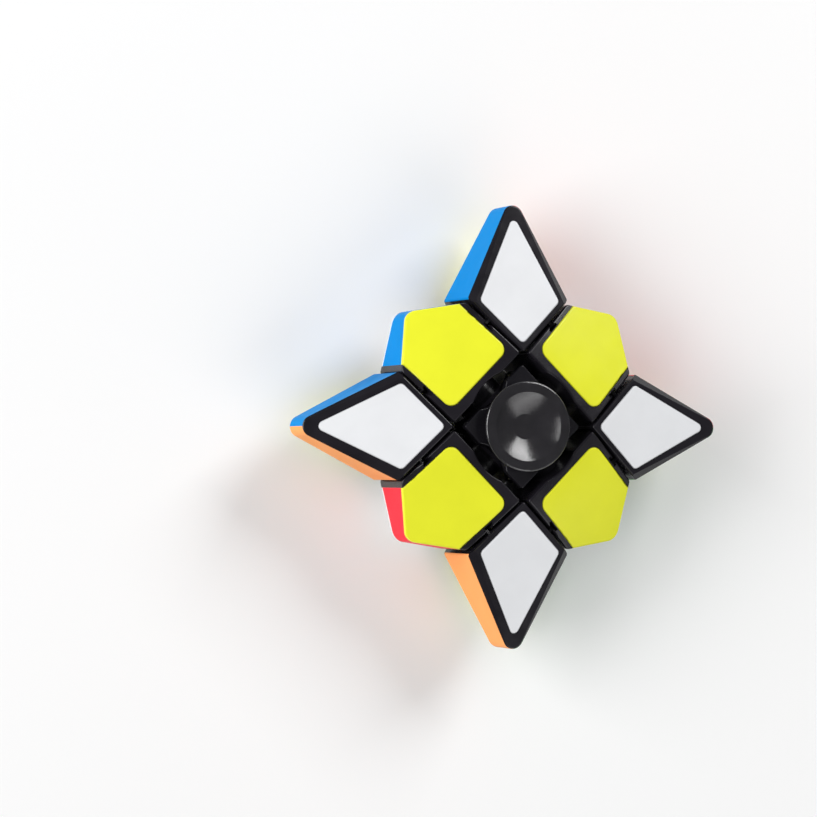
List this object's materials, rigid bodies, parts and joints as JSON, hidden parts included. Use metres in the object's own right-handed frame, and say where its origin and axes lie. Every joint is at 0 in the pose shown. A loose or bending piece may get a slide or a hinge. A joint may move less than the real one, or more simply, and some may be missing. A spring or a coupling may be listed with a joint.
{
  "type": "finger spinner turning puzzle",
  "caption": "Flat star-shaped turning puzzle with coloured tiles and a ball bearing between two dished finger caps, so that it also spins.",
  "frame": {"origin": "on the spin axis, at the lower finger cap's flat rim, which the puzzle rests on", "axes": "+Z along the spin axis, up through the upper finger cap; +X and +Y along two neighbouring edge pieces' arms"},
  "size_m": [0.06, 0.06, 0.023],
  "materials": {
    "body_black": "satin moulded ABS",
    "cap_black": "satin, turned dish",
    "core_black": "gloss",
    "white_tile": "gloss",
    "yellow_tile": "gloss",
    "blue_tile": "gloss",
    "orange_tile": "gloss",
    "red_tile": "gloss",
    "green_tile": "gloss",
    "steel": "polished steel",
    "cage_brass": "pressed brass"
  },
  "bodies": {
    "spindle": {"finger_cap_top": "cap_black", "finger_cap_bottom": "cap_black", "axle_stud": "steel", "bearing_inner_race": "steel"},
    "core": {"core_frame": "core_black", "core_plate_top": "core_black", "core_plate_bottom": "core_black", "bearing_outer_race": "steel", "bearing_balls": "steel", "bearing_cage": "cage_brass", "bearing_shields": "steel", "edge_screws": "steel", "edge_washers": "steel", "edge_springs": "steel"},
    "edge_ne": {"edge_ne_body": "body_black", "edge_ne_face_tile_top": "yellow_tile", "edge_ne_face_tile_bottom": "white_tile", "edge_ne_side_tile": "orange_tile"},
    "edge_nw": {"edge_nw_body": "body_black", "edge_nw_face_tile_top": "yellow_tile", "edge_nw_face_tile_bottom": "white_tile", "edge_nw_side_tile": "blue_tile"},
    "edge_sw": {"edge_sw_body": "body_black", "edge_sw_face_tile_top": "yellow_tile", "edge_sw_face_tile_bottom": "white_tile", "edge_sw_side_tile": "red_tile"},
    "edge_se": {"edge_se_body": "body_black", "edge_se_face_tile_top": "yellow_tile", "edge_se_face_tile_bottom": "white_tile", "edge_se_side_tile": "green_tile"},
    "corner_n": {"corner_n_body": "body_black", "corner_n_face_tile_top": "white_tile", "corner_n_face_tile_bottom": "yellow_tile", "corner_n_side_tile_a": "red_tile", "corner_n_side_tile_b": "blue_tile"},
    "corner_w": {"corner_w_body": "body_black", "corner_w_face_tile_top": "white_tile", "corner_w_face_tile_bottom": "yellow_tile", "corner_w_side_tile_a": "blue_tile", "corner_w_side_tile_b": "orange_tile"},
    "corner_s": {"corner_s_body": "body_black", "corner_s_face_tile_top": "white_tile", "corner_s_face_tile_bottom": "yellow_tile", "corner_s_side_tile_a": "orange_tile", "corner_s_side_tile_b": "green_tile"},
    "corner_e": {"corner_e_body": "body_black", "corner_e_face_tile_top": "white_tile", "corner_e_face_tile_bottom": "yellow_tile", "corner_e_side_tile_a": "green_tile", "corner_e_side_tile_b": "red_tile"}
  },
  "joints": [
    {"name": "spin", "type": "hinge", "parent": "spindle", "child": "core", "pos_m": [0, 0, 0.0115], "axis": [0, 0, 1], "continuous": true},
    {"name": "ne_turn", "type": "hinge", "parent": "core", "child": "edge_ne", "pos_m": [0, 0, 0.0115], "axis": [1, 0, 0], "range_deg": [-180, 180]},
    {"name": "nw_turn", "type": "hinge", "parent": "core", "child": "edge_nw", "pos_m": [0, 0, 0.0115], "axis": [0, 1, 0], "range_deg": [-180, 180]},
    {"name": "sw_turn", "type": "hinge", "parent": "core", "child": "edge_sw", "pos_m": [0, 0, 0.0115], "axis": [-1, 0, 0], "range_deg": [-180, 180]},
    {"name": "se_turn", "type": "hinge", "parent": "core", "child": "edge_se", "pos_m": [0, 0, 0.0115], "axis": [0, -1, 0], "range_deg": [-180, 180]},
    {"name": "corner_n_turn", "type": "hinge", "parent": "edge_nw", "child": "corner_n", "pos_m": [0, 0, 0.0115], "axis": [1, 0, 0], "range_deg": [-180, 180]},
    {"name": "corner_w_turn", "type": "hinge", "parent": "edge_nw", "child": "corner_w", "pos_m": [0, 0, 0.0115], "axis": [-1, 0, 0], "range_deg": [-180, 180]},
    {"name": "corner_s_turn", "type": "hinge", "parent": "edge_se", "child": "corner_s", "pos_m": [0, 0, 0.0115], "axis": [-1, 0, 0], "range_deg": [-180, 180]},
    {"name": "corner_e_turn", "type": "hinge", "parent": "edge_se", "child": "corner_e", "pos_m": [0, 0, 0.0115], "axis": [1, 0, 0], "range_deg": [-180, 180]}
  ],
  "couplings": [
    {"joint": "corner_n_turn", "follows": "ne_turn", "ratio": 1},
    {"joint": "corner_w_turn", "follows": "sw_turn", "ratio": 1},
    {"joint": "corner_s_turn", "follows": "sw_turn", "ratio": 1},
    {"joint": "corner_e_turn", "follows": "ne_turn", "ratio": 1}
  ]
}
